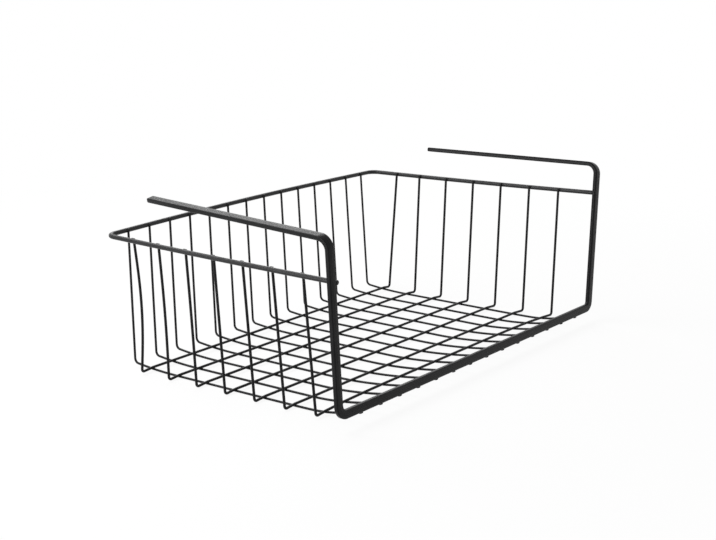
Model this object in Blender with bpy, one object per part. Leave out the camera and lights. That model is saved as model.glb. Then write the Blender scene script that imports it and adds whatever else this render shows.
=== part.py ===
"""Wire basket that hangs under a shelf: a bent hanger bar, a rim wire and a floor of crossed wires.

Metres, +Z up. X runs along the open front, Y runs from the front to the back.
The origin is the middle of the base, on the surface that the basket stands on.
"""
import math

import bmesh
import bpy
from mathutils import Matrix, Vector

# Driving sizes
overall_depth = 0.2660
rim_half_width = 0.2008
rim_height = 0.1232
left_arm_rise = 0.0362
right_arm_rise = 0.0326
joint_gap = 0.00025

# Grid of thin wires, evenly spaced between the outermost ones
back_wire_diameter = 0.0021
side_wire_diameter = 0.0024
back_wire_count = 14
side_wire_count = 7
front_side_wire_setback = 0.0354
last_side_wire_setback = 0.0223
side_wire_lean = 0.0016
last_right_lean = 0.0025
last_left_lean = 0.0004
left_leg_bow = 0.0045
bow_fade_share = 0.3
side_wall_lean = 0.0116
floor_side_margin = 0.0136
back_wire_top_share = 0.980
back_wire_bend_radius = 0.0044
back_wall_lean = 0.0055
back_wire_tip_rise = 0.0016
side_wire_bend_radius = 0.0028
side_wire_foot_drop = 0.0020
side_wire_tip_rise = 0.0016

# Shape of the floor, which is drawn up to the front bar and a little at the back
front_sweep_length = 0.0880
front_sweep_loss = 0.0400
back_sweep_length = 0.0500
back_sweep_rise = 0.0030
sweep_power = 2
fade_power = 4
sweep_steps = 7
seat_overhang = 0.0010
tip_setback = 0.0005

# Rim wire: its right side climbs to the front, its back bows up a little and its sides sag a little
rim_wire_diameter = 0.0042
rim_corner_radius = 0.0095
rim_end_overhang = 0.0004
rim_right_rise = 0.0060
rim_back_bow = 0.0023
rim_side_sag = 0.0006

# Walls spread by this much for each metre towards the front, but the foot of the left one narrows
side_flare_share = 0.0368
left_foot_flare_share = -0.0050

# Hanger bar, whose uprights lean out and a little back
bar_width = 0.0077
bar_thickness = 0.0041
bar_edge_radius = 0.0008
bar_height = 0.0136
left_corner_radius = 0.0098
right_corner_radius = 0.0060
bar_shoulder_radius = 0.0092
bar_lean_share = 0.0720
bar_back_lean_share = 0.0090
arm_toe_in_share = 0.130
left_arm_reach = 0.2180
right_arm_reach = 0.1847
tip_round = 0.0018

# Smoothness of the bends
bend_steps = 5
rim_bend_steps = 8
rim_back_steps = 8
rim_side_steps = 6
bow_steps = 6
shoulder_steps = 9
edge_steps = 2
thin_wire_resolution = 2
rim_wire_resolution = 4
straight_angle = math.radians(0.05)
crisp_angle = math.radians(50)

# Coating
coating_colour = (0.020, 0.020, 0.022, 1)
coating_roughness = 0.48

# Places that follow from the sizes
back_wire_radius = back_wire_diameter / 2
side_wire_radius = side_wire_diameter / 2
rim_radius = rim_wire_diameter / 2
layer_height = back_wire_radius + joint_gap + side_wire_radius
bar_front_y = -overall_depth / 2
bar_y = bar_front_y + bar_thickness / 2
rim_back_y = overall_depth / 2 - rim_radius
floor_half_width = rim_half_width - side_wall_lean
outer_back_wire_x = floor_half_width - floor_side_margin
back_wire_pitch = outer_back_wire_x * 2 / (back_wire_count - 1)
wall_top_y = rim_back_y - rim_radius - joint_gap - back_wire_radius
wall_foot_y = wall_top_y - back_wall_lean
front_side_wire_y = bar_y + front_side_wire_setback
last_side_wire_y = wall_foot_y - last_side_wire_setback
side_wire_pitch = (last_side_wire_y - front_side_wire_y) / (side_wire_count - 1)
seat_height = bar_height - bar_width / 2 - joint_gap - back_wire_radius
seat_y = bar_y + bar_thickness / 2 + seat_overhang
front_rise = seat_height - back_wire_radius
left_arm_height = rim_height + left_arm_rise
right_arm_height = rim_height + right_arm_rise


def half_width_at(middle_half_width, y):
    """Half width of a side wall at a depth: the walls spread towards the front."""
    return middle_half_width - side_flare_share * y


def rim_height_at(x, y):
    """Height of the rim wire's centre, which is a little askew."""
    to_right = (x + rim_half_width) / (rim_half_width * 2)
    to_front = (rim_back_y - y) / (rim_back_y - bar_y)
    bow = rim_back_bow * math.sin(math.pi * to_right)
    sag = rim_side_sag * math.sin(math.pi * to_front)
    return rim_height + rim_right_rise * to_right * to_front + bow - sag


def floor_height(x, y):
    """Height of a back wire's centre, which climbs to the front bar and slightly at the back."""
    fade = min(abs(x) / outer_back_wire_x, 1) ** fade_power
    front_start = seat_y + front_sweep_length - front_sweep_loss * fade
    back_start = wall_foot_y - back_sweep_length
    if y < front_start:
        climb = min((front_start - y) / (front_start - seat_y), 1)
        return back_wire_radius + front_rise * climb ** sweep_power
    if y > back_start:
        climb = (y - back_start) / (wall_foot_y - back_start)
        return back_wire_radius + back_sweep_rise * climb ** sweep_power
    return back_wire_radius


def arc_points(before, corner, after, radius, steps):
    """Points of the arc that rounds one corner of a bent wire."""
    inward = (before - corner).normalized()
    outward = (after - corner).normalized()
    turn = math.pi - inward.angle(outward)
    tangent_length = radius * math.tan(turn / 2)
    middle = (inward + outward).normalized()
    centre = corner + middle * (radius / math.cos(turn / 2))
    first = corner + inward * tangent_length - centre
    axis = first.cross(corner + outward * tangent_length - centre).normalized()
    return [centre + Matrix.Rotation(turn * step / steps, 3, axis) @ first for step in range(steps + 1)]


def without_straight_points(points):
    """Leaves out the points that lie on the straight line between their neighbours."""
    kept = [points[0]]
    for point, following in zip(points[1:-1], points[2:]):
        turn = (point - kept[-1]).angle(following - point)
        if turn > straight_angle:
            kept.append(point)
    return kept + [points[-1]]


def coating_material(name):
    """Black powder coating for one piece."""
    material = bpy.data.materials.new(name + "_coating")
    material.use_nodes = True
    shader = material.node_tree.nodes["Principled BSDF"]
    shader.inputs["Base Color"].default_value = coating_colour
    shader.inputs["Roughness"].default_value = coating_roughness
    shader.inputs["Metallic"].default_value = 0
    return material


def add_piece(name, data, place):
    """Puts one named piece in the basket's collection, at its place."""
    piece = bpy.data.objects.new(name, data)
    piece.location = place
    piece.parent = origin_mark
    piece.data.materials.append(coating_material(name))
    parts.objects.link(piece)
    return piece


def add_wire(name, points, diameter, resolution, place):
    """A round wire along a list of points, closed at both ends."""
    curve = bpy.data.curves.new(name, "CURVE")
    curve.dimensions = "3D"
    curve.bevel_depth = diameter / 2
    curve.bevel_resolution = resolution
    curve.use_fill_caps = True
    spline = curve.splines.new("POLY")
    spline.points.add(len(points) - 1)
    for target, point in zip(spline.points, points):
        target.co = (*(point - Vector(place)), 1)
    spline.use_smooth = True
    return add_piece(name, curve, place)


def back_wire_points(x):
    """From under the front bar, along the floor and up the back wall to the rim."""
    tip_y = bar_front_y + tip_setback
    points = [Vector((x, tip_y, seat_height))]
    front_flat_y = seat_y + front_sweep_length
    back_flat_y = wall_foot_y - back_sweep_length
    last_sweep_y = wall_foot_y - back_wire_bend_radius
    for step in range(sweep_steps + 1):
        y = seat_y + (front_flat_y - seat_y) * step / sweep_steps
        points.append(Vector((x, y, floor_height(x, y))))
    for step in range(sweep_steps // 2 + 1):
        y = back_flat_y + (last_sweep_y - back_flat_y) * step / (sweep_steps // 2)
        points.append(Vector((x, y, floor_height(x, y))))
    foot = Vector((x, wall_foot_y, floor_height(x, wall_foot_y)))
    top_x = x * back_wire_top_share
    seat = Vector((top_x, wall_top_y, rim_height_at(top_x, wall_top_y)))
    tip = seat + (seat - foot) * (back_wire_tip_rise / (seat.z - foot.z))
    foot_bend = arc_points(points[-1], foot, tip, back_wire_bend_radius, bend_steps)
    return without_straight_points(points[:-1] + foot_bend + [tip])


def side_wire_points(floor_y, right_rim_y, left_rim_y, left_bow):
    """From the rim down the right side, across the floor wires and up the left side, whose leg bows."""
    right_foot_x = half_width_at(floor_half_width, floor_y)
    left_foot_x = left_foot_flare_share * floor_y - floor_half_width
    rim_reach = rim_half_width - rim_radius - joint_gap - side_wire_radius
    floor_run = []
    for number in range(back_wire_count):
        x = outer_back_wire_x - back_wire_pitch * number
        floor_run.append(Vector((x, floor_y, floor_height(x, floor_y) + layer_height)))
    legs = []
    right_side = (right_foot_x, half_width_at(rim_reach, right_rim_y), right_rim_y, floor_run[0], 0)
    left_side = (left_foot_x, -half_width_at(rim_reach, left_rim_y), left_rim_y, floor_run[-1], left_bow)
    for foot_x, seat_x, rim_y, run_end, bow in (right_side, left_side):
        foot_height = floor_height(foot_x, floor_y) + layer_height - side_wire_foot_drop
        foot = Vector((foot_x, floor_y, foot_height))
        seat = Vector((seat_x, rim_y, rim_height_at(seat_x, rim_y)))
        leg = []
        for step in range(1, bow_steps):
            bulge = bow * math.sin(math.pi * step / bow_steps)
            leg.append(seat.lerp(foot, step / bow_steps) - Vector((0, bulge, 0)))
        tip = seat + (seat - leg[0]) * (side_wire_tip_rise / (seat.z - leg[0].z))
        foot_bend = arc_points(leg[-1], foot, run_end, side_wire_bend_radius, bend_steps)
        legs.append([tip] + leg + foot_bend)
    right_leg, left_leg = legs
    return without_straight_points(right_leg + floor_run + left_leg[::-1])


def rim_points():
    """One wire round the sides and the back, open at the front."""
    end_y = bar_y - rim_end_overhang
    front = Vector((half_width_at(rim_half_width, end_y), end_y, 0))
    corner = Vector((half_width_at(rim_half_width, rim_back_y), rim_back_y, 0))
    to_left = Matrix.Scale(-1, 3, Vector((1, 0, 0)))
    right_bend = arc_points(front, corner, to_left @ corner, rim_corner_radius, rim_bend_steps)
    right_side = [front.lerp(right_bend[0], step / rim_side_steps) for step in range(rim_side_steps)]
    right = right_side + right_bend
    left = [to_left @ point for point in reversed(right)]
    back = [right[-1].lerp(left[0], step / rim_back_steps) for step in range(1, rim_back_steps)]
    outline = right + back + left
    return [Vector((point.x, point.y, rim_height_at(point.x, point.y))) for point in outline]


def push(bm, face, travel):
    """Draws the end face of the bar out in a straight line, which opens its old place."""
    result = bmesh.ops.extrude_face_region(bm, geom=[face])
    corners = [item for item in result["geom"] if isinstance(item, bmesh.types.BMVert)]
    bmesh.ops.translate(bm, verts=corners, vec=travel)
    bmesh.ops.delete(bm, geom=[face], context="FACES_ONLY")
    return [item for item in result["geom"] if isinstance(item, bmesh.types.BMFace)][0]


def bend(bm, face, centre, axis, angle, steps, slide):
    """Turns the end face of the bar about an axis, sliding along it, which opens its old place."""
    result = bmesh.ops.spin(bm, geom=[face], cent=centre, axis=axis, angle=angle, steps=steps,
                            dvec=slide / steps)
    bmesh.ops.delete(bm, geom=[face], context="FACES_ONLY")
    return [item for item in result["geom_last"] if isinstance(item, bmesh.types.BMFace)][0]


def round_tip(bm, face, middle, across, through, along):
    """Draws the end of the bar to a soft tip, which narrows by the same radius on all four sides."""
    to_tip = Matrix((across, through, along)).to_4x4() @ Matrix.Translation(-middle)
    narrowed = 0
    for step in range(edge_steps):
        turn = math.pi / 2 * (step + 1) / edge_steps
        travel = tip_round * (math.sin(turn) - math.sin(math.pi / 2 * step / edge_steps))
        narrowing = tip_round * (1 - math.cos(turn))
        face = push(bm, face, along * travel)
        shrink_across = (bar_width / 2 - narrowing) / (bar_width / 2 - narrowed)
        shrink_through = (bar_thickness / 2 - narrowing) / (bar_thickness / 2 - narrowed)
        bmesh.ops.scale(bm, verts=face.verts[:], vec=(shrink_across, shrink_through, 1), space=to_tip)
        narrowed = narrowing


def half_bar(reach, arm_height, corner_radius, seat_height_on_rim):
    """The left half of the hanger bar, from the middle of the front to the end of its arm."""
    lean = math.atan(bar_lean_share)
    upward = Vector((-math.sin(lean), 0, math.cos(lean)))
    inward = Vector((math.cos(lean), 0, math.sin(lean)))
    backward = Vector((0, 1, 0))
    rim_side_x = half_width_at(rim_half_width, bar_y) + rim_radius + joint_gap
    side_x_at_rim = rim_side_x + bar_width / 2 / math.cos(lean)
    corner_x = side_x_at_rim - (seat_height_on_rim - bar_height) * bar_lean_share
    corner_turn = math.pi / 2 - lean
    corner_length = corner_radius * math.tan(corner_turn / 2)

    # The shoulder is folded about an axis that is turned a little from square, which toes the arm in.
    skew = math.asin(arm_toe_in_share)
    fold_axis = inward * math.cos(skew) + upward * math.sin(skew)
    level = upward.z * math.sin(skew) ** 2 + inward.z * math.sin(skew) * math.cos(skew)
    tilt = upward.z * math.cos(skew) ** 2 - inward.z * math.sin(skew) * math.cos(skew)
    fold = math.acos(-level / tilt)
    turned = Matrix.Rotation(-fold, 3, fold_axis)
    slide = fold_axis * (bar_shoulder_radius * math.tan(skew) * fold)
    shoulder_travel = backward * bar_shoulder_radius + turned @ (-backward * bar_shoulder_radius) + slide
    arm_direction = turned @ upward

    bm = bmesh.new()
    bmesh.ops.create_grid(bm, x_segments=1, y_segments=1, size=1)
    bmesh.ops.scale(bm, verts=bm.verts, vec=(bar_width / 2, bar_thickness / 2, 1))
    bmesh.ops.bevel(bm, geom=bm.verts[:], affect="VERTICES", offset=bar_edge_radius, segments=edge_steps,
                    profile=0.5, material=-1)
    to_front = Matrix(((0, 0, -1), (0, 1, 0), (1, 0, 0)))
    bmesh.ops.rotate(bm, verts=bm.verts, cent=(0, 0, 0), matrix=to_front)
    bmesh.ops.translate(bm, verts=bm.verts, vec=(0, bar_y, bar_height))
    bm.faces.ensure_lookup_table()

    end = push(bm, bm.faces[0], Vector((corner_length - corner_x, 0, 0)))
    corner_centre = Vector((corner_length - corner_x, bar_y, bar_height + corner_radius))
    end = bend(bm, end, corner_centre, backward, corner_turn, bend_steps, Vector((0, 0, 0)))
    corner_end = Vector((-corner_x, bar_y, bar_height)) + upward * corner_length
    rise = arm_height - shoulder_travel.z - corner_end.z
    end = push(bm, end, upward * (rise / upward.z))
    shoulder_start = corner_end + upward * (rise / upward.z)
    shoulder_centre = shoulder_start + backward * bar_shoulder_radius
    end = bend(bm, end, shoulder_centre, fold_axis, -fold, shoulder_steps, slide)
    back_lean = bar_back_lean_share * (arm_height - corner_end.z)
    arm_length = (reach - back_lean - shoulder_travel.y) / arm_direction.y - tip_round
    end = push(bm, end, arm_direction * arm_length)
    arm_end = shoulder_start + shoulder_travel + arm_direction * arm_length
    round_tip(bm, end, arm_end, turned @ inward, turned @ backward, arm_direction)
    for vert in bm.verts:
        above_corner = max((vert.co - corner_end).dot(upward), 0)
        vert.co.y += bar_back_lean_share * above_corner
    return bm


def hanger_frame_mesh():
    """Both halves of the bar, welded at the middle of the front."""
    rim_side_x = half_width_at(rim_half_width, bar_y)
    left_seat = rim_height_at(-rim_side_x, bar_y)
    right_seat = rim_height_at(rim_side_x, bar_y)
    bm = half_bar(left_arm_reach, left_arm_height, left_corner_radius, left_seat)
    right = half_bar(right_arm_reach, right_arm_height, right_corner_radius, right_seat)
    bmesh.ops.scale(right, verts=right.verts, vec=(-1, 1, 1))
    bmesh.ops.reverse_faces(right, faces=right.faces)
    right_mesh = bpy.data.meshes.new("right_half")
    right.to_mesh(right_mesh)
    right.free()
    bm.from_mesh(right_mesh)
    bpy.data.meshes.remove(right_mesh)
    bmesh.ops.remove_doubles(bm, verts=bm.verts, dist=joint_gap / 4)
    mesh = bpy.data.meshes.new("hanger_frame")
    bm.to_mesh(mesh)
    bm.free()
    mesh.shade_smooth()
    mesh.set_sharp_from_angle(angle=crisp_angle)
    return mesh


for leftover in list(bpy.data.objects):
    bpy.data.objects.remove(leftover)

parts = bpy.data.collections.new("hanging_wire_basket")
bpy.context.scene.collection.children.link(parts)
origin_mark = bpy.data.objects.new("basket_origin", None)
parts.objects.link(origin_mark)

add_piece("hanger_frame", hanger_frame_mesh(), (0, 0, 0))
add_wire("rim_wire", rim_points(), rim_wire_diameter, rim_wire_resolution, (0, 0, rim_height))

for number in range(side_wire_count):
    floor_y = front_side_wire_y + side_wire_pitch * number
    right_rim_y = floor_y + side_wire_lean
    left_rim_y = floor_y + side_wire_lean
    if number == side_wire_count - 1:
        right_rim_y = floor_y - last_right_lean
        left_rim_y = floor_y - last_left_lean
    bow = left_leg_bow * bow_fade_share ** (side_wire_count - 1 - number)
    points = side_wire_points(floor_y, right_rim_y, left_rim_y, bow)
    add_wire(f"side_wire_{number + 1}", points, side_wire_diameter, thin_wire_resolution, (0, floor_y, 0))

for number in range(back_wire_count):
    x = back_wire_pitch * number - outer_back_wire_x
    add_wire(f"back_wire_{number + 1:02d}", back_wire_points(x), back_wire_diameter, thin_wire_resolution,
             (x, 0, 0))
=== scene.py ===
# %% [markdown]
# # A wire basket that hangs under a shelf
#
# The real basket is welded from four kinds of bent steel: one flat bar, one thick rim wire, and
# the two kinds of thin wire in its grid. It is then powder coated black as a whole. The CAD model
# holds the same bar and wires as plain faceted solids, with thin gaps where the welds are. This
# lesson dresses that model: every wire is drawn again as a smooth tube, the bar gets its rounded
# edges, the joints get their weld beads, and the coating becomes a procedural material.
#
# The first cell loads the CAD model as a fixed frame and notes how big it is.

import math

import bmesh
import bpy
from mathutils import Matrix, Vector


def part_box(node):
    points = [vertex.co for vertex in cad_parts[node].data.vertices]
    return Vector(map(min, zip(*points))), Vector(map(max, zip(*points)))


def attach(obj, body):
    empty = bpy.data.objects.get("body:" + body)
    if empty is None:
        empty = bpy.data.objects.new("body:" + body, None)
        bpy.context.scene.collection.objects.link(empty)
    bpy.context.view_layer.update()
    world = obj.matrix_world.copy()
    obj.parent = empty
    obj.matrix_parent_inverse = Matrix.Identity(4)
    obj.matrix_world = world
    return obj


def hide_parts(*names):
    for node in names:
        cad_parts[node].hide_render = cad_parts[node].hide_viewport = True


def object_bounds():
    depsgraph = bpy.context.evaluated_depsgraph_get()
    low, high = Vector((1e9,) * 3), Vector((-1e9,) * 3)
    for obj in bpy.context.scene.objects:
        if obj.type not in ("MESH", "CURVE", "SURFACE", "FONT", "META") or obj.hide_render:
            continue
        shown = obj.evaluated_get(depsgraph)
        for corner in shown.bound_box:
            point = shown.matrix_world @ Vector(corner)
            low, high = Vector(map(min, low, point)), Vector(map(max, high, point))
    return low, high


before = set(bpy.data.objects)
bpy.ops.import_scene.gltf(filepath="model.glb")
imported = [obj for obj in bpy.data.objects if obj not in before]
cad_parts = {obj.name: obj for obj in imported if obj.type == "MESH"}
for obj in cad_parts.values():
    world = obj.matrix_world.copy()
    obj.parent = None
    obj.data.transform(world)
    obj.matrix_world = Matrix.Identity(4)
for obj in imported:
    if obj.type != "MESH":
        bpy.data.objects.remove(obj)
cad_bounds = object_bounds()
cad_low, cad_high = Vector(cad_bounds[0]), Vector(cad_bounds[1])
print("CAD pieces:", len(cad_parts))
print("CAD size in mm:", [round(length * 1000, 1) for length in cad_high - cad_low])

# %% [markdown]
# ## Sizes
#
# All sizes are in metres, in the frame's own axes: X runs along the open front, Y from the
# front to the back and Z up. The outer limits come from the loaded frame, so the new pieces
# cannot drift away from it. The rest repeats the bender's settings: wire gauges, bend radii
# and how far each wall leans.

# %% Sizes of the wires and their bends
back_wire_diameter = 0.0021
side_wire_diameter = 0.0024
rim_wire_diameter = 0.0042
back_wire_radius = back_wire_diameter / 2
side_wire_radius = side_wire_diameter / 2
rim_radius = rim_wire_diameter / 2
cad_gap = 0.00025

bar_width = 0.0077
bar_thickness = 0.0041
bar_edge_radius = 0.0010
bar_height = 0.0136
left_corner_radius = 0.0098
right_corner_radius = 0.0060
bar_shoulder_radius = 0.0092
bar_lean_share = 0.0720
bar_back_lean_share = 0.0090
arm_toe_in_share = 0.130

rim_height = 0.1232
rim_half_width = 0.2008
rim_corner_radius = 0.0095
rim_right_rise = 0.0060
rim_back_bow = 0.0023
rim_side_sag = 0.0006
side_flare_share = 0.0368
left_foot_flare_share = -0.0050

bar_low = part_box("hanger_frame")[0]
rim_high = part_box("rim_wire")[1]
bar_y = bar_low.y + bar_thickness / 2
rim_back_y = rim_high.y - rim_radius
print("bar and rim lie", round((rim_back_y - bar_y) * 1000, 1), "mm apart")

# %% [markdown]
# ## Where the rim runs
#
# The walls of the basket spread towards the front, so the rim is wider there. The rim of the
# photographed basket is also a little askew, as hand-welded wire goods often are: its right
# side climbs to the front, its long back bows up by a hair and its sides sag by less. Every
# wire that ends at the rim asks these two functions where it is.

# %% Width and height of the rim
def half_width_at(middle_half_width, y):
    """Half width of a side wall at a depth: the walls spread towards the front."""
    return middle_half_width - side_flare_share * y


def rim_height_at(x, y):
    """Height of the rim wire's centre."""
    to_right = (x + rim_half_width) / (rim_half_width * 2)
    to_front = (rim_back_y - y) / (rim_back_y - bar_y)
    bow = rim_back_bow * math.sin(math.pi * to_right)
    sag = rim_side_sag * math.sin(math.pi * to_front)
    return rim_height + rim_right_rise * to_right * to_front + bow - sag


rim_side_x = half_width_at(rim_half_width, bar_y)
for side, name in ((-1, "left"), (1, "right")):
    print(name, "end of the rim in mm:", round(rim_height_at(side * rim_side_x, bar_y) * 1000, 1))

# %% [markdown]
# ## How deep the welds sink
#
# A resistance weld presses hot wires into each other, by about a quarter of their thickness.
# The CAD model keeps a hair of air at each joint instead, because solids there may not touch.
# The visible wires close that gap and sink in a little, which also lowers the cross wires.

# %% Weld depth
weld_sink = 0.0006
closing = cad_gap + weld_sink
layer_height = back_wire_radius + side_wire_radius - weld_sink
print("cross wires sit", round(layer_height * 1000, 2), "mm above the floor wires")

# %% [markdown]
# ## Shader maths that reads like Python
#
# A material is a graph of nodes, and long graphs are hard to read as code. Two small classes
# help. `Signal` wraps the output of a node and overloads the arithmetic operators, so that
# `1 - mask` adds its own Math node. `Graph` owns one node tree, of a material or of the world,
# and its `node` method makes any other node from its type, its settings and its inputs.

# %% A signal and a graph
class Signal:
    """The output of a node, which can be used in sums."""

    def __init__(self, graph, socket):
        self.graph = graph
        self.socket = socket

    def maths(self, operation, first, second):
        return self.graph.node("ShaderNodeMath", {"operation": operation}, {0: first, 1: second})

    def __add__(self, other):
        return self.maths("ADD", self, other)

    def __radd__(self, other):
        return self.maths("ADD", other, self)

    def __sub__(self, other):
        return self.maths("SUBTRACT", self, other)

    def __rsub__(self, other):
        return self.maths("SUBTRACT", other, self)

    def __mul__(self, other):
        return self.maths("MULTIPLY", self, other)

    def __rmul__(self, other):
        return self.maths("MULTIPLY", other, self)


class Graph:
    """The node tree of a material or of the world, and a way to add any node to it."""

    def __init__(self, owner):
        owner.use_nodes = True
        self.tree = owner.node_tree

    def set_input(self, socket, value):
        if isinstance(value, Signal):
            self.tree.links.new(value.socket, socket)
        else:
            socket.default_value = value

    def node(self, kind, settings=None, inputs=None, output=0):
        node = self.tree.nodes.new(kind)
        for name, value in (settings or {}).items():
            if name == "stops":
                for stop, (place, colour) in zip(node.color_ramp.elements, value):
                    stop.position = place
                    stop.color = colour
            else:
                setattr(node, name, value)
        for key, value in (inputs or {}).items():
            self.set_input(node.inputs[key], value)
        return Signal(self, node.outputs[output])


print("shader helpers ready")

# %% [markdown]
# ## Black powder coating
#
# Powder coating is sprayed on dry and baked, and it melts into an even satin black skin. Up
# close it is not flat: fine grain from the powder, a slow ripple called orange peel, and patches
# where the skin is a little thicker. An image could show all that, but it would have to be laid
# out on every wire. Each of these is a noise pattern at its own scale instead. The grain and the
# ripple tilt the surface, through Bump nodes. The patches and the grain shade the colour, and the
# patches also shift the roughness a little. Object coordinates keep the scale in metres on every
# wire, whatever its length.
#
# The flat bar was rolled, which leaves faint lines along it that the coating does not quite
# hide. They follow the bar round its bends, so their noise cannot read object coordinates. It
# reads an attribute that each vertex of the bar carries: its place in the bar's cross section.

# %% Patterns in the coating
grain_size = 0.0004
ripple_size = 0.0016
patch_size = 0.0300
patch_share = 0.7
grain_share = 0.3
darkest_shade = 0.35
lightest_shade = 0.65
roughness_spread = 0.12
coating_ior = 1.45

line_size = 0.0011
line_height = 0.00030
line_share = 0.6
print("in mm: grain", grain_size * 1000, "ripple", ripple_size * 1000, "patches", patch_size * 1000)

# %% Coating recipe
def coating(name, black, grey, gloss, roughness, grain_height, ripple_height, rolled=False):
    """Satin black powder coating, with its grain, its ripple and its patches."""
    material = bpy.data.materials.new(name)
    graph = Graph(material)
    shader = graph.tree.nodes["Principled BSDF"]
    place = graph.node("ShaderNodeTexCoord", output="Object")

    def noise(vector, size, detail, fineness=0.5):
        return graph.node("ShaderNodeTexNoise", {"noise_dimensions": "3D"},
                          {"Vector": vector, "Scale": 1 / size, "Detail": detail, "Roughness": fineness})

    patches = noise(place, patch_size, detail=3.0)
    grain = noise(place, grain_size, detail=2.0)
    ripple = noise(place, ripple_size, detail=1.0)
    shade = patches * patch_share + grain * grain_share
    bumps = graph.node("ShaderNodeBump", None,
                       {"Height": ripple, "Distance": ripple_height, "Strength": 1.0})
    if rolled:
        section = graph.node("ShaderNodeAttribute", {"attribute_name": "section"}, output="Vector")
        lines = noise(section, line_size, detail=2.0, fineness=0.6)
        shade = lines * line_share + shade * (1 - line_share)
        bumps = graph.node("ShaderNodeBump", None,
                           {"Height": lines, "Distance": line_height, "Strength": 1.0, "Normal": bumps})
    bumps = graph.node("ShaderNodeBump", None,
                       {"Height": grain, "Distance": grain_height, "Strength": 1.0, "Normal": bumps})
    colour = graph.node("ShaderNodeValToRGB",
                        {"stops": ((darkest_shade, black), (lightest_shade, grey))}, {"Fac": shade})
    patchy = patches * roughness_spread + (roughness - roughness_spread / 2)
    graph.set_input(shader.inputs["Base Color"], colour)
    graph.set_input(shader.inputs["Roughness"], patchy)
    graph.set_input(shader.inputs["Normal"], bumps)
    graph.set_input(shader.inputs["IOR"], coating_ior)
    graph.set_input(shader.inputs["Specular IOR Level"], gloss)
    return material


print("lines along the bar are", line_size * 1000, "mm wide")

# %% [markdown]
# ## Four finishes from one recipe
#
# It is one coating, but it looks different on each kind of piece: smooth, with a wide range of
# tones, on the flat bar, glossier on the rim, duller on the thin wires, and rougher on the welds,
# where it gathers. The rim's two tones are also lighter than the others: that is painted sheen,
# standing in for the light that its round top catches from above. So the recipe is used four
# times, each with its own two tones, its gloss, its roughness and the heights of its grain and
# its ripple in metres.

# %% Finishes
bar_black = (0.0025, 0.0025, 0.0027, 1)
bar_grey = (0.0170, 0.0170, 0.0178, 1)
# The rim's tones are lighter than those of the bar and the wires: painted sheen for the light on its round
# top, over the coating's own black.
rim_black_with_painted_sheen = (0.0130, 0.0130, 0.0136, 1)
rim_grey_with_painted_sheen = (0.0210, 0.0210, 0.0219, 1)
wire_black = (0.0060, 0.0060, 0.0064, 1)
wire_grey = (0.0110, 0.0110, 0.0116, 1)

bar_coating = coating("black_coating_on_the_bar", bar_black, bar_grey, gloss=0.10, roughness=0.30,
                      grain_height=0.00003, ripple_height=0.00010, rolled=True)
rim_coating_with_painted_sheen = coating("black_coating_on_the_rim_with_painted_sheen", rim_black_with_painted_sheen, rim_grey_with_painted_sheen, gloss=0.21, roughness=0.29,
                      grain_height=0.00003, ripple_height=0.00008)
wire_coating = coating("black_coating_on_the_wires", wire_black, wire_grey, gloss=0.12, roughness=0.36,
                       grain_height=0.00002, ripple_height=0.00005)
weld_coating = coating("black_coating_on_the_welds", wire_black, wire_grey, gloss=0.12, roughness=0.50,
                       grain_height=0.00005, ripple_height=0.00012)
print("coatings:", [material.name for material in bpy.data.materials])

# %% [markdown]
# ## Paths
#
# Every wire is a path with straight runs and round bends. A bend is an arc that touches both
# runs, so it needs only the corner point and the bending radius. The helper below returns the
# points of that arc.

# %% Round a corner of a path
def arc_points(before, corner, after, radius, steps):
    """Points of the arc that rounds one corner of a bent wire."""
    inward = (before - corner).normalized()
    outward = (after - corner).normalized()
    turn = math.pi - inward.angle(outward)
    tangent_length = radius * math.tan(turn / 2)
    centre = corner + (inward + outward).normalized() * (radius / math.cos(turn / 2))
    first = corner + inward * tangent_length - centre
    last = corner + outward * tangent_length - centre
    axis = first.cross(last).normalized()
    return [centre + Matrix.Rotation(turn * step / steps, 3, axis) @ first for step in range(steps + 1)]


above, origin, beside = Vector((0, 0, 1)), Vector((0, 0, 0)), Vector((1, 0, 0))
trial_bend = arc_points(above, origin, beside, radius=0.1, steps=4)
print("a square corner in four steps takes", len(trial_bend), "points")

# %% [markdown]
# ## From a path to a wire
#
# A curve with a bevel would do, but its end caps are loose and its rings cannot be edited.
# Pulling a ring along the path keeps one clean skin: the ring is extruded from point to point,
# turned half way into each bend, and filled at both ends. The shears leave a sharp rim on the
# cut ends, and the coating rounds it, so a small bevel finishes the wire.

# %% Turn the rings of a wire
def new_items(made, kind):
    """The new vertices, edges or faces among what an operator returns."""
    return [item for item in made if isinstance(item, kind)]


def turn_ring(bm, verts, centre, old_heading, new_heading):
    """Turns one ring of a wire from facing one way to facing another."""
    turned = old_heading.rotation_difference(new_heading).to_matrix()
    bmesh.ops.rotate(bm, verts=verts, cent=centre, matrix=turned)


print("ring helpers ready")

# %% Pull a wire along a path
grid_wire_sides = 16
rim_wire_sides = 28
cut_end_segments = 3


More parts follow.
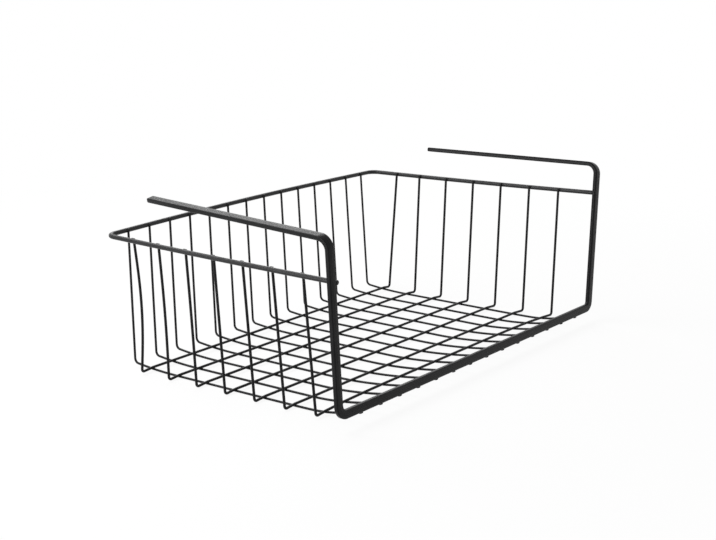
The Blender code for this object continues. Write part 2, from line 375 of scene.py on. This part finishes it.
def pull_wire(points, diameter, sides, end_radius):
    """A round wire along a list of points, with both cut ends softened."""
    bm = bmesh.new()
    bmesh.ops.create_circle(bm, radius=diameter / 2, segments=sides)
    heading = (points[1] - points[0]).normalized()
    turn_ring(bm, bm.verts[:], Vector((0, 0, 0)), Vector((0, 0, 1)), heading)
    bmesh.ops.translate(bm, verts=bm.verts[:], vec=points[0])
    ring = bm.edges[:]
    end_edges = list(ring)
    for number in range(1, len(points)):
        made = bmesh.ops.extrude_edge_only(bm, edges=ring)["geom"]
        verts = new_items(made, bmesh.types.BMVert)
        fresh = set(verts)
        ring = [edge for edge in new_items(made, bmesh.types.BMEdge) if set(edge.verts) <= fresh]
        bmesh.ops.translate(bm, verts=verts, vec=points[number] - points[number - 1])
        new_heading = (points[number] - points[number - 1]).normalized()
        if number + 1 < len(points):
            new_heading = (new_heading + (points[number + 1] - points[number]).normalized()).normalized()
        turn_ring(bm, verts, points[number], heading, new_heading)
        heading = new_heading
    end_edges += ring
    bmesh.ops.holes_fill(bm, edges=end_edges, sides=sides)
    bmesh.ops.bevel(bm, geom=end_edges, affect="EDGES", offset=end_radius, segments=cut_end_segments,
                    profile=0.5, material=-1)
    bmesh.ops.recalc_face_normals(bm, faces=bm.faces[:])
    return bm


print("sides of a grid wire:", grid_wire_sides, "and of the rim wire:", rim_wire_sides)

# %% [markdown]
# ## Finishing a piece
#
# Each new wire stands for one CAD node. It rides on the root body, takes the finish that it is
# given and hides the plain solid. The weld beads stand for no node, because the CAD model has
# gaps in their places. Smooth shading rounds the tube, and edges sharper than the given angle
# stay crisp. The helper prints how far the sides of the new piece's box are from those of the
# solid that it stands for.

# %% Turn a mesh into a named piece
crisp_angle = math.radians(50)


def finish_piece(name, bm, material, stands_for=None):
    """Makes a named object, rides it on the body and lets it stand for its CAD node."""
    mesh = bpy.data.meshes.new(name)
    bm.to_mesh(mesh)
    bm.free()
    mesh.shade_smooth()
    mesh.set_sharp_from_angle(angle=crisp_angle)
    mesh.materials.append(material)
    piece = bpy.data.objects.new(name, mesh)
    bpy.context.scene.collection.objects.link(piece)
    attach(piece, "root")
    if stands_for:
        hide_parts(stands_for)
        low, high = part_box(stands_for)
        places = [vert.co for vert in mesh.vertices]
        worst = max(max(abs(min(place[axis] for place in places) - low[axis]),
                        abs(max(place[axis] for place in places) - high[axis])) for axis in range(3))
        print(name, len(mesh.polygons), "faces, at most", round(worst * 1000, 2), "mm from its solid")
    else:
        print(name, len(mesh.polygons), "faces")


print("edges sharper than", round(math.degrees(crisp_angle)), "degrees stay crisp")

# %% [markdown]
# ## The hanger bar
#
# One flat bar makes the low front rail, both uprights and both arms. It is bent on edge at the
# two lower corners, which keeps its wide face to the front. At the shoulders it is folded flat,
# over an axis that is turned a little from square: that swings the arms inwards and tilts
# them. A tube tool cannot follow such a fold without twisting the section, but a spin with a
# little slide along its axis is exactly what the bending machine does. So the end face of the
# bar is pushed and bent, as the machine does it.

# %% Push and bend the end of a bar
straight_stations = 6


def push(bm, face, travel):
    """Draws the end face of the bar out in a straight line."""
    made = bmesh.ops.extrude_face_region(bm, geom=[face])["geom"]
    bmesh.ops.translate(bm, verts=new_items(made, bmesh.types.BMVert), vec=travel)
    bmesh.ops.delete(bm, geom=[face], context="FACES_ONLY")
    return new_items(made, bmesh.types.BMFace)[0]


def push_on(bm, face, travel):
    """Draws a straight run out in equal steps, so that no face on it gets too long."""
    for _ in range(straight_stations):
        face = push(bm, face, travel)
    return face


def bend(bm, face, centre, axis, angle, steps, slide):
    """Turns the end face of the bar about an axis, sliding along it."""
    made = bmesh.ops.spin(bm, geom=[face], cent=centre, axis=axis, angle=angle, steps=steps,
                          dvec=slide / steps)["geom_last"]
    bmesh.ops.delete(bm, geom=[face], context="FACES_ONLY")
    return new_items(made, bmesh.types.BMFace)[0]


print("a straight run takes", straight_stations, "pushes")

# %% [markdown]
# ## The section of the bar
#
# The bar is a flat strip with rounded edges. It could be cut from a profile curve, but two
# operators are enough: a grid of one face, scaled to the section, and a bevel of its corners.
# Before the face is turned into place, each vertex notes where it lies in the section. Extrude
# and spin copy that note along the whole bar, where the coating reads it for the rolled lines.

# %% Section of the bar
bar_edge_segments = 4


def bar_section():
    """A new bmesh whose only face is the section of the bar, at the middle of the front rail."""
    bm = bmesh.new()
    bmesh.ops.create_grid(bm, x_segments=1, y_segments=1, size=1)
    bmesh.ops.scale(bm, verts=bm.verts, vec=(bar_width / 2, bar_thickness / 2, 1))
    bmesh.ops.bevel(bm, geom=bm.verts[:], affect="VERTICES", offset=bar_edge_radius,
                    segments=bar_edge_segments, profile=0.5, material=-1)
    section = bm.verts.layers.float_vector.new("section")
    for vert in bm.verts:
        vert[section] = vert.co
    to_rail = Matrix(((0, 0, -1), (0, 1, 0), (1, 0, 0)))
    bmesh.ops.rotate(bm, verts=bm.verts, cent=(0, 0, 0), matrix=to_rail)
    bmesh.ops.translate(bm, verts=bm.verts, vec=(0, bar_y, bar_height))
    bm.faces.ensure_lookup_table()
    return bm, bm.faces[0]


trial_bar, trial_face = bar_section()
print("the bar's section has", len(trial_face.verts), "corners")
trial_bar.free()

# %% [markdown]
# ## The fold at the shoulder
#
# The uprights lean outwards as they rise. If the axis of the fold were square to the upright,
# the arm would run straight back. The axis is turned up from there by a small skew, so the arm
# swings inwards and its flat side tilts. The fold ends when the arm is level. How high the
# turned upright points is a sum of two parts: one keeps its size in the fold and the other
# shrinks with the cosine of the angle, and together they are zero at the angle below.

# %% Fold of the shoulder
lean = math.atan(bar_lean_share)
upward = Vector((-math.sin(lean), 0, math.cos(lean)))
inward = Vector((math.cos(lean), 0, math.sin(lean)))
backward = Vector((0, 1, 0))

skew = math.asin(arm_toe_in_share)
fold_axis = inward * math.cos(skew) + upward * math.sin(skew)
steady_part = upward.z * math.sin(skew) ** 2 + inward.z * math.sin(skew) * math.cos(skew)
turning_part = upward.z * math.cos(skew) ** 2 - inward.z * math.sin(skew) * math.cos(skew)
fold = math.acos(-steady_part / turning_part)
folded = Matrix.Rotation(-fold, 3, fold_axis)
shoulder_slide = fold_axis * (bar_shoulder_radius * math.tan(skew) * fold)
shoulder_arc = backward * bar_shoulder_radius + folded @ (-backward * bar_shoulder_radius)
shoulder_travel = shoulder_arc + shoulder_slide
arm_direction = folded @ upward
arm_across = folded @ inward
arm_through = folded @ backward
arm_tilt = math.asin(abs(arm_across.z))
print("fold and tilt in degrees:", round(math.degrees(fold), 1), "and", round(math.degrees(arm_tilt), 1))

# %% [markdown]
# ## Half of the bar
#
# The two halves of the bar differ only in the radius of the corner, the height and the length of
# the arm, and the height of the rim where its end is welded on. So one function makes the left
# half, and the right half is its mirror image. The arm's end is ground round on all four sides.
# A bevel that wide would fold the narrow faces of the rounded edges over each other, so the end
# face is pushed on in small steps and narrowed at each one instead.

# %% Half of the hanger bar
bar_corner_steps = 14
bar_shoulder_steps = 20
tip_round = 0.0018


def round_tip(bm, face, middle, across, through, along):
    """Draws the end of the bar to a soft tip, which narrows by the same radius on all four sides."""
    to_tip = Matrix((across, through, along)).to_4x4() @ Matrix.Translation(-middle)
    narrowed = 0
    for step in range(bar_edge_segments):
        turn = math.pi / 2 * (step + 1) / bar_edge_segments
        travel = tip_round * (math.sin(turn) - math.sin(math.pi / 2 * step / bar_edge_segments))
        narrowing = tip_round * (1 - math.cos(turn))
        face = push(bm, face, along * travel)
        shrink_across = (bar_width / 2 - narrowing) / (bar_width / 2 - narrowed)
        shrink_through = (bar_thickness / 2 - narrowing) / (bar_thickness / 2 - narrowed)
        bmesh.ops.scale(bm, verts=face.verts[:], vec=(shrink_across, shrink_through, 1), space=to_tip)
        narrowed = narrowing


def half_bar(reach, arm_height, corner_radius, seat_height_on_rim):
    """The left half of the bar, from the middle of the front rail to the end of its arm."""
    side_x_at_rim = rim_side_x + rim_radius + cad_gap + bar_width / 2 / math.cos(lean)
    corner_x = side_x_at_rim - (seat_height_on_rim - bar_height) * bar_lean_share
    corner_turn = math.pi / 2 - lean
    corner_length = corner_radius * math.tan(corner_turn / 2)
    corner_centre = Vector((corner_length - corner_x, bar_y, bar_height + corner_radius))
    corner_end = Vector((-corner_x, bar_y, bar_height)) + upward * corner_length
    rise = arm_height - shoulder_travel.z - corner_end.z
    shoulder_start = corner_end + upward * (rise / upward.z)
    shoulder_centre = shoulder_start + backward * bar_shoulder_radius
    back_lean = bar_back_lean_share * (arm_height - corner_end.z)
    arm_length = (reach - back_lean - shoulder_travel.y) / arm_direction.y - tip_round
    arm_end = shoulder_start + shoulder_travel + arm_direction * arm_length

    bm, end = bar_section()
    end = push_on(bm, end, Vector(((corner_length - corner_x) / straight_stations, 0, 0)))
    end = bend(bm, end, corner_centre, backward, corner_turn, bar_corner_steps, Vector((0, 0, 0)))
    end = push_on(bm, end, upward * (rise / upward.z / straight_stations))
    end = bend(bm, end, shoulder_centre, fold_axis, -fold, bar_shoulder_steps, shoulder_slide)
    end = push_on(bm, end, arm_direction * (arm_length / straight_stations))
    round_tip(bm, end, arm_end, arm_across, arm_through, arm_direction)
    for vert in bm.verts:
        above_corner = max((vert.co - corner_end).dot(upward), 0)
        vert.co.y += bar_back_lean_share * above_corner
    return bm


print("steps in a corner:", bar_corner_steps, "and in a shoulder:", bar_shoulder_steps)

# %% [markdown]
# ## Joining the halves
#
# A negative scale mirrors the right half, which also turns it inside out, so its faces are
# reversed. The halves meet at the middle of the front rail. Merging their doubles there makes
# one skin, and the normals are recalculated to be sure that all of them point outwards.

# %% Join both halves
left_arm_height = 0.1594
right_arm_height = 0.1558
left_arm_reach = 0.2180
right_arm_reach = 0.1847
merge_distance = 0.00005

left_seat = rim_height_at(-rim_side_x, bar_y)
right_seat = rim_height_at(rim_side_x, bar_y)
bar = half_bar(left_arm_reach, left_arm_height, left_corner_radius, left_seat)
right = half_bar(right_arm_reach, right_arm_height, right_corner_radius, right_seat)
bmesh.ops.scale(right, verts=right.verts, vec=(-1, 1, 1))
bmesh.ops.reverse_faces(right, faces=right.faces)
right_mesh = bpy.data.meshes.new("right_half")
right.to_mesh(right_mesh)
right.free()
bar.from_mesh(right_mesh)
bpy.data.meshes.remove(right_mesh)
bmesh.ops.remove_doubles(bar, verts=bar.verts, dist=merge_distance)
bmesh.ops.recalc_face_normals(bar, faces=bar.faces[:])
finish_piece("hanger_bar", bar, bar_coating, "hanger_frame")

# %% [markdown]
# ## The rim wire
#
# One thick wire runs round the left side, the back and the right side. It is open at the
# front, where its ends sit against the insides of the uprights. The sides spread towards the
# front, so the two back corners turn by a little more than a right angle.

# %% Draw the rim wire
rim_bend_steps = 16
rim_back_steps = 24
rim_side_steps = 18
rim_end_overhang = 0.0004
rim_end_radius = 0.0009

to_left = Matrix.Scale(-1, 3, Vector((1, 0, 0)))
rim_end_y = bar_y - rim_end_overhang
rim_front = Vector((half_width_at(rim_half_width, rim_end_y), rim_end_y, 0))
rim_corner = Vector((half_width_at(rim_half_width, rim_back_y), rim_back_y, 0))
right_bend = arc_points(rim_front, rim_corner, to_left @ rim_corner, rim_corner_radius, rim_bend_steps)
right_side = [rim_front.lerp(right_bend[0], step / rim_side_steps) for step in range(rim_side_steps)]
rim_right = right_side + right_bend
rim_left = [to_left @ point for point in reversed(rim_right)]
rim_back = [rim_right[-1].lerp(rim_left[0], step / rim_back_steps) for step in range(1, rim_back_steps)]
outline = rim_right + rim_back + rim_left
rim_path = [Vector((point.x, point.y, rim_height_at(point.x, point.y))) for point in outline]
rim = pull_wire(rim_path, rim_wire_diameter, rim_wire_sides, rim_end_radius)
finish_piece("rim_wire_coated", rim, rim_coating_with_painted_sheen, "rim_wire")

# %% [markdown]
# ## The floor
#
# The floor is not flat. The back wires end under the front rail, which is higher than the
# floor, so they climb to it over the last few centimetres, and they also rise a little at the
# back. Near the two sides the climb is shorter. A power curve gives this soft sweep, and both
# sets of wires ask the same function for their height, so they always meet.

# %% Height of the floor
back_wire_count = 14
side_wire_count = 7
front_side_wire_setback = 0.0354
last_side_wire_setback = 0.0223
side_wire_lean = 0.0016
last_right_lean = 0.0025
last_left_lean = 0.0004
side_wall_lean = 0.0116
floor_side_margin = 0.0136
back_wall_lean = 0.0055

front_sweep_length = 0.0880
front_sweep_loss = 0.0400
back_sweep_length = 0.0500
back_sweep_rise = 0.0030
seat_overhang = 0.0010

floor_half_width = rim_half_width - side_wall_lean
outer_back_wire_x = floor_half_width - floor_side_margin
back_wire_pitch = outer_back_wire_x * 2 / (back_wire_count - 1)
cad_wall_top_y = rim_back_y - rim_radius - cad_gap - back_wire_radius
wall_foot_y = cad_wall_top_y - back_wall_lean
seat_height = bar_height - bar_width / 2 - cad_gap - back_wire_radius
seat_y = bar_y + bar_thickness / 2 + seat_overhang
front_side_wire_y = bar_y + front_side_wire_setback
side_wire_pitch = (wall_foot_y - last_side_wire_setback - front_side_wire_y) / (side_wire_count - 1)


def floor_height(x, y):
    """Height of a back wire's centre at a place on the floor."""
    fade = min(abs(x) / outer_back_wire_x, 1) ** 4
    front_start = seat_y + front_sweep_length - front_sweep_loss * fade
    back_start = wall_foot_y - back_sweep_length
    if y < front_start:
        climb = min((front_start - y) / (front_start - seat_y), 1)
        return back_wire_radius + (seat_height - back_wire_radius) * climb ** 2
    if y > back_start:
        return back_wire_radius + back_sweep_rise * ((y - back_start) / (wall_foot_y - back_start)) ** 2
    return back_wire_radius


print("floor pitch in mm:", round(back_wire_pitch * 1000, 2), "by", round(side_wire_pitch * 1000, 2))

# %% [markdown]
# ## The back wires
#
# Fourteen L-shaped wires run from under the front rail, along the floor and up the back wall
# to the rim. They lean in towards the middle as they rise. At the rail and at the rim each one
# is welded, so its end sinks in slightly.

# %% Draw the back wires
back_wire_top_share = 0.980
back_wire_bend_radius = 0.0044
back_wire_tip_rise = 0.0016
wire_bend_steps = 12
sweep_steps = 14
cut_end_radius = 0.0004
tip_setback = 0.0005
rail_sink = 0.0010
tip_y = bar_low.y + tip_setback
rail_closing = cad_gap + rail_sink
wall_top_y = cad_wall_top_y + closing


def back_wire_points(x):
    """From under the front rail, along the floor and up the back wall to the rim."""
    points = [Vector((x, tip_y, seat_height + rail_closing))]
    front_flat_y = seat_y + front_sweep_length
    back_flat_y = wall_foot_y - back_sweep_length
    last_sweep_y = wall_foot_y - back_wire_bend_radius
    for step in range(sweep_steps + 1):
        y = seat_y + (front_flat_y - seat_y) * step / sweep_steps
        settling = rail_closing * (1 - step / sweep_steps) ** 2
        points.append(Vector((x, y, floor_height(x, y) + settling)))
    for step in range(sweep_steps // 2 + 1):
        y = back_flat_y + (last_sweep_y - back_flat_y) * step / (sweep_steps // 2)
        points.append(Vector((x, y, floor_height(x, y))))
    foot = Vector((x, wall_foot_y, floor_height(x, wall_foot_y)))
    top_x = x * back_wire_top_share
    seat = Vector((top_x, wall_top_y, rim_height_at(top_x, wall_top_y)))
    tip = seat + (seat - foot) * (back_wire_tip_rise / (seat.z - foot.z))
    foot_bend = arc_points(points[-1], foot, tip, back_wire_bend_radius, wire_bend_steps)
    return points[:-1] + foot_bend + [tip]


back_wire_xs = [back_wire_pitch * number - outer_back_wire_x for number in range(back_wire_count)]
for number, x in enumerate(back_wire_xs):
    wire = pull_wire(back_wire_points(x), back_wire_diameter, grid_wire_sides, cut_end_radius)
    finish_piece(f"back_wire_{number + 1:02d}_coated", wire, wire_coating, f"back_wire_{number + 1:02d}")

# %% [markdown]
# ## The side wires
#
# Seven U-shaped wires cross the floor on top of the back wires and climb both side walls to
# the rim. Each is one wire, a gauge thicker than the back wires: down one side, across and up
# the other side. Their tips stand a little above the rim, which shows as a row of small bumps
# along it. The left legs near the back wall bow towards the front, the last one most. A straight
# line between rim and foot would miss that, so each leg has stations along it, moved by half a
# sine wave.

# %% Draw the side wires
side_wire_bend_radius = 0.0028
side_wire_foot_drop = 0.0020
side_wire_tip_rise = 0.0016
left_leg_bow = 0.0045
bow_fade_share = 0.3
bow_steps = 18


def side_wire_points(floor_y, right_rim_y, left_rim_y, left_bow):
    """From the rim down the right side, across the floor wires and up the left side, whose leg bows."""
    right_foot_x = half_width_at(floor_half_width, floor_y)
    left_foot_x = left_foot_flare_share * floor_y - floor_half_width
    rim_reach = rim_half_width - rim_radius - cad_gap - side_wire_radius + closing
    floor_run = [Vector((-x, floor_y, floor_height(x, floor_y) + layer_height)) for x in back_wire_xs]
    legs = []
    right_side = (right_foot_x, half_width_at(rim_reach, right_rim_y), right_rim_y, floor_run[0], 0)
    left_side = (left_foot_x, -half_width_at(rim_reach, left_rim_y), left_rim_y, floor_run[-1], left_bow)
    for foot_x, seat_x, rim_y, run_end, bow in (right_side, left_side):
        foot_height = floor_height(foot_x, floor_y) + layer_height + closing - side_wire_foot_drop
        foot = Vector((foot_x, floor_y, foot_height))
        seat = Vector((seat_x, rim_y, rim_height_at(seat_x, rim_y)))
        leg = []
        for step in range(1, bow_steps):
            bulge = bow * math.sin(math.pi * step / bow_steps)
            leg.append(seat.lerp(foot, step / bow_steps) - Vector((0, bulge, 0)))
        tip = seat + (seat - leg[0]) * (side_wire_tip_rise / (seat.z - leg[0].z))
        foot_bend = arc_points(leg[-1], foot, run_end, side_wire_bend_radius, wire_bend_steps)
        legs.append([tip] + leg + foot_bend)
    right_leg, left_leg = legs
    return right_leg + floor_run + left_leg[::-1]


side_wire_ys = [front_side_wire_y + side_wire_pitch * number for number in range(side_wire_count)]
side_wire_seats = []
for number, floor_y in enumerate(side_wire_ys):
    right_rim_y = floor_y + side_wire_lean
    left_rim_y = floor_y + side_wire_lean
    if number == side_wire_count - 1:
        right_rim_y = floor_y - last_right_lean
        left_rim_y = floor_y - last_left_lean
    side_wire_seats.append((right_rim_y, left_rim_y))
    bow = left_leg_bow * bow_fade_share ** (side_wire_count - 1 - number)
    points = side_wire_points(floor_y, right_rim_y, left_rim_y, bow)
    wire = pull_wire(points, side_wire_diameter, grid_wire_sides, cut_end_radius)
    finish_piece(f"side_wire_{number + 1}_coated", wire, wire_coating, f"side_wire_{number + 1}")

# %% [markdown]
# ## Weld beads
#
# Where two wires are welded, a little metal is squeezed out round the contact, and the coating
# gathers there. From a step away it softens the inside corners of each crossing. One low
# lens between the two wires does that. There are more than a hundred of them, so each has
# only a few dozen faces, and each group of joints is one piece.

# %% A bead and the sizes of its kinds
bead_segments = 12
bead_rings = 8


def add_bead(bm, centre, size):
    """One lens-shaped bead, squashed to its size along each axis."""
    squash = Matrix.Translation(centre) @ Matrix.Diagonal((*size, 1))
    bmesh.ops.create_uvsphere(bm, u_segments=bead_segments, v_segments=bead_rings, radius=1, matrix=squash)


floor_bead = Vector((0.00155, 0.00155, 0.00075))
rail_bead = Vector((0.00260, 0.00180, 0.00095))
wall_bead = Vector((0.00260, 0.00110, 0.00130))
side_bead = Vector((0.00110, 0.00260, 0.00130))
rim_end_bead = Vector((0.00070, 0.00160, 0.00200))
print("faces on a bead:", bead_segments * bead_rings)

# %% Beads on the floor and under the rail
beads = bmesh.new()
for floor_y in side_wire_ys:
    for x in back_wire_xs:
        add_bead(beads, Vector((x, floor_y, floor_height(x, floor_y) + layer_height / 2)), floor_bead)
finish_piece("floor_weld_beads", beads, weld_coating)

beads = bmesh.new()
for x in back_wire_xs:
    add_bead(beads, Vector((x, bar_y, bar_height - bar_width / 2 - closing / 2)), rail_bead)
finish_piece("rail_weld_beads", beads, weld_coating)

# %% Beads along the rim and at its ends
bead_rise = 0.0010
bead_inset = 0.0015

beads = bmesh.new()
for x in back_wire_xs:
    top_x = x * back_wire_top_share
    top = Vector((top_x, rim_back_y - bead_inset, rim_height_at(top_x, rim_back_y) + bead_rise))
    add_bead(beads, top, wall_bead)
for right_rim_y, left_rim_y in side_wire_seats:
    for side, rim_y in ((1, right_rim_y), (-1, left_rim_y)):
        bead_x = side * (half_width_at(rim_half_width, rim_y) - bead_inset)
        add_bead(beads, Vector((bead_x, rim_y, rim_height_at(bead_x, rim_y) + bead_rise)), side_bead)
for side in (-1, 1):
    bead_x = half_width_at(rim_half_width, bar_y) + rim_radius
    add_bead(beads, Vector((side * bead_x, bar_y, rim_height_at(side * bead_x, bar_y))), rim_end_bead)
# The beads on the rim take the rim's lighter tones, and with them its painted sheen.
finish_piece("rim_weld_beads", beads, rim_coating_with_painted_sheen)

# %% [markdown]
# ## The ground
#
# The basket is shown on a plain white ground, as in a catalogue. A black object needs little
# light on itself, but it needs something bright to reflect, or its tops look dead. The ground
# is a white plane. Near the basket it mixes in a share of its lit surface, which keeps a faint
# contact shadow, and further away it is plain white. A Light Path node tells what kind of ray
# asks: the ones that are seen find white, and the ones that light the basket do not.

# %% Rays that see white
plain_white = (1, 1, 1, 1)
white_ray_kinds = ("Is Camera Ray", "Is Glossy Ray", "Is Transmission Ray")


def rays_that_see_white(graph):
    """One for camera rays, reflections and rays through glass, and zero for the light on things."""
    rays = [graph.node("ShaderNodeLightPath", output=kind) for kind in white_ray_kinds]
    return rays[0] + rays[1] + rays[2]


print("kinds of rays that see white:", len(white_ray_kinds))

# %% Ground
ground_size = 12.0
ground_white = (0.90, 0.90, 0.90, 1)
ground_roughness = 0.9
shade_share = 0.10
shade_near = 0.30
shade_far = 0.90


def ground_material():
    """White ground, also in reflections, that keeps a soft shadow near the basket."""
    material = bpy.data.materials.new("white_ground")
    graph = Graph(material)
    shader = graph.tree.nodes["Principled BSDF"]
    graph.set_input(shader.inputs["Base Color"], ground_white)
    graph.set_input(shader.inputs["Roughness"], ground_roughness)
    glow = graph.node("ShaderNodeEmission", None, {"Color": plain_white, "Strength": 1.0})
    place = graph.node("ShaderNodeTexCoord", output="Object")
    distance = graph.node("ShaderNodeVectorMath", {"operation": "LENGTH"}, {0: place}, output="Value")
    shade = graph.node("ShaderNodeMapRange", {"interpolation_type": "SMOOTHSTEP"},
                       {"Value": distance, "From Min": shade_near, "From Max": shade_far,
                        "To Min": shade_share, "To Max": 0})
    white = rays_that_see_white(graph) * (1 - shade)
    mixed = graph.node("ShaderNodeMixShader", None,
                       {0: white, 1: Signal(graph, shader.outputs[0]), 2: glow})
    graph.set_input(graph.tree.nodes["Material Output"].inputs["Surface"], mixed)
    return material


bm = bmesh.new()
bmesh.ops.create_grid(bm, x_segments=1, y_segments=1, size=ground_size / 2)
ground_mesh = bpy.data.meshes.new("ground")
bm.to_mesh(ground_mesh)
bm.free()
ground_mesh.materials.append(ground_material())
ground = bpy.data.objects.new("ground", ground_mesh)
bpy.context.scene.collection.objects.link(ground)
print("ground:", ground_size, "m wide, shaded within", shade_far, "m")

# %% [markdown]
# ## The room
#
# The room lights the basket evenly with a middle grey. The eye and the reflections see it as
# white, like the ground, so that no horizon shows. A new world brings one Background node, which
# becomes the grey room. The node method of the graph adds the white one and the mix.

# %% World
room_grey = (0.45, 0.45, 0.45, 1)

world = bpy.data.worlds.new("studio")
bpy.context.scene.world = world
graph = Graph(world)
room_shader = graph.tree.nodes["Background"]
graph.set_input(room_shader.inputs["Color"], room_grey)
room = Signal(graph, room_shader.outputs[0])
backdrop = graph.node("ShaderNodeBackground", None, {"Color": plain_white, "Strength": 1.0})
seen = graph.node("ShaderNodeMixShader", None, {0: rays_that_see_white(graph), 1: room, 2: backdrop})
graph.set_input(graph.tree.nodes["World Output"].inputs["Surface"], seen)
print("world nodes:", len(graph.tree.nodes))

# %% [markdown]
# ## Lamps
#
# A black satin surface is drawn by what it reflects, so each lamp has its place in a mirror
# line. The overhead lamp hangs a little behind the basket and draws a sheen along the tops of
# the round wires. The lamp behind on the right is the one that the tilted top of the left arm
# reflects towards the camera. The lamp on the left, a little behind, does the same for the inner
# side of the right arm. All three are soft squares that face the middle of the basket. Each
# direction below is about one metre long, so its distance is the lamp's distance in metres.

# %% Lamps
middle = (cad_low + cad_high) / 2


def add_lamp(name, direction, distance, size, watts):
    """A square soft lamp in a direction from the middle of the basket, which it faces."""
    lamp = bpy.data.lights.new(name, "AREA")
    lamp.shape = "SQUARE"
    lamp.size = size
    lamp.energy = watts
    holder = bpy.data.objects.new(name, lamp)
    holder.location = middle + Vector(direction) * distance
    holder.rotation_euler = (middle - holder.location).to_track_quat("-Z", "Y").to_euler()
    bpy.context.scene.collection.objects.link(holder)


add_lamp("overhead_lamp", direction=(-0.19, 0.56, 0.81), distance=1.4, size=0.8, watts=10)
add_lamp("back_right_lamp", direction=(0.62, 0.58, 0.53), distance=1.8, size=0.9, watts=8)
add_lamp("back_left_lamp", direction=(-0.92, 0.32, 0.22), distance=1.6, size=0.9, watts=18)
print("lamps:", len(bpy.data.lights))

# %% [markdown]
# ## Camera
#
# The photograph was taken from the left of the front corner, slightly above the basket. The
# angles, the distance and the lens come from lining up the bends and the crossings of the
# wires, with the camera level.

# %% Camera at the photograph's angle
camera_azimuth = math.radians(-53.19)
camera_elevation = math.radians(13.97)
camera_place = Vector((-1.0975, -0.8182, 0.4132))
camera_lens = 76.04
camera_sensor_width = 36

camera_data = bpy.data.cameras.new("photo_camera")
camera_data.lens = camera_lens
camera_data.sensor_width = camera_sensor_width
camera = bpy.data.objects.new("photo_camera", camera_data)
towards_camera = Vector((math.sin(camera_azimuth) * math.cos(camera_elevation),
                         -math.cos(camera_azimuth) * math.cos(camera_elevation),
                         math.sin(camera_elevation)))
rightward = Vector((0, 0, 1)).cross(towards_camera).normalized()
placed = Matrix((rightward, towards_camera.cross(rightward), towards_camera)).transposed().to_4x4()
placed.translation = camera_place
camera.matrix_world = placed
bpy.context.scene.collection.objects.link(camera)
bpy.context.scene.camera = camera
bpy.context.scene.view_settings.view_transform = "Standard"
print("camera distance:", round((camera_place - middle).length, 3), "m")
